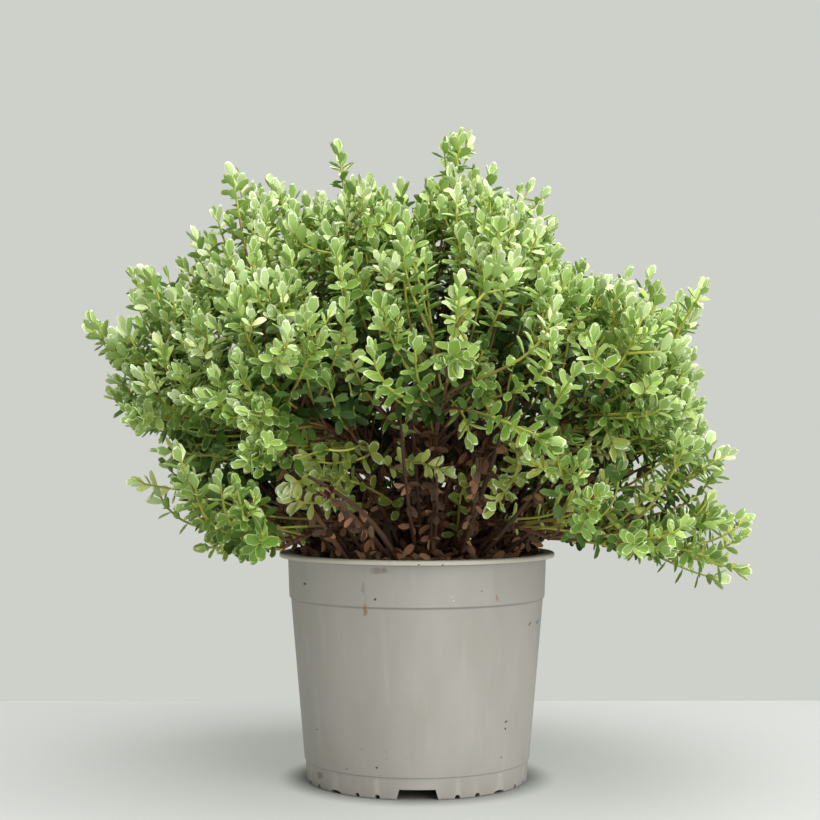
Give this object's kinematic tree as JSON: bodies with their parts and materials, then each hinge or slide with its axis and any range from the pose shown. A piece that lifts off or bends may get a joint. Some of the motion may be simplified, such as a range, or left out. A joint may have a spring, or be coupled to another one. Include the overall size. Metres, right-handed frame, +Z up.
{
  "type": "potted hebe shrub",
  "caption": "Small evergreen hebe shrub with a domed crown of leafy shoots on a short woody trunk, standing in a round tapered grey nursery pot of compost.",
  "frame": {"origin": "middle of the pot's footprint on the surface it stands on", "axes": "+Z up, -Y towards the front, +X to the right as seen from the front"},
  "size_m": [0.4122, 0.3772, 0.3996],
  "materials": {
    "pot": "matt moulded grey plastic",
    "soil": "rough damp compost",
    "bark": "rough brown bark",
    "foliage": "satin leaves, pale edged"
  },
  "bodies": {
    "root": {"pot": "pot", "soil": "soil", "trunk": "bark", "bough_low_1": "bark", "bough_low_2": "bark", "bough_low_3": "bark", "bough_low_4": "bark", "bough_low_5": "bark", "bough_low_6": "bark", "bough_low_7": "bark", "bough_low_8": "bark", "bough_low_9": "bark", "bough_side_1": "bark", "bough_side_2": "bark", "bough_side_3": "bark", "bough_side_4": "bark", "bough_side_5": "bark", "bough_side_6": "bark", "bough_side_7": "bark", "bough_side_8": "bark", "bough_side_9": "bark", "bough_upper_1": "bark", "bough_upper_2": "bark", "bough_upper_3": "bark", "bough_upper_4": "bark", "bough_upper_5": "bark", "bough_upper_6": "bark", "bough_top_1": "bark", "foliage_low_1": "foliage", "foliage_low_2": "foliage", "foliage_low_3": "foliage", "foliage_low_4": "foliage", "foliage_low_5": "foliage", "foliage_low_6": "foliage", "foliage_low_7": "foliage", "foliage_low_8": "foliage", "foliage_low_9": "foliage", "foliage_side_1": "foliage", "foliage_side_2": "foliage", "foliage_side_3": "foliage", "foliage_side_4": "foliage", "foliage_side_5": "foliage", "foliage_side_6": "foliage", "foliage_side_7": "foliage", "foliage_side_8": "foliage", "foliage_side_9": "foliage", "foliage_upper_1": "foliage", "foliage_upper_2": "foliage", "foliage_upper_3": "foliage", "foliage_upper_4": "foliage", "foliage_upper_5": "foliage", "foliage_upper_6": "foliage", "foliage_top_1": "foliage"}
  },
  "joints": []
}
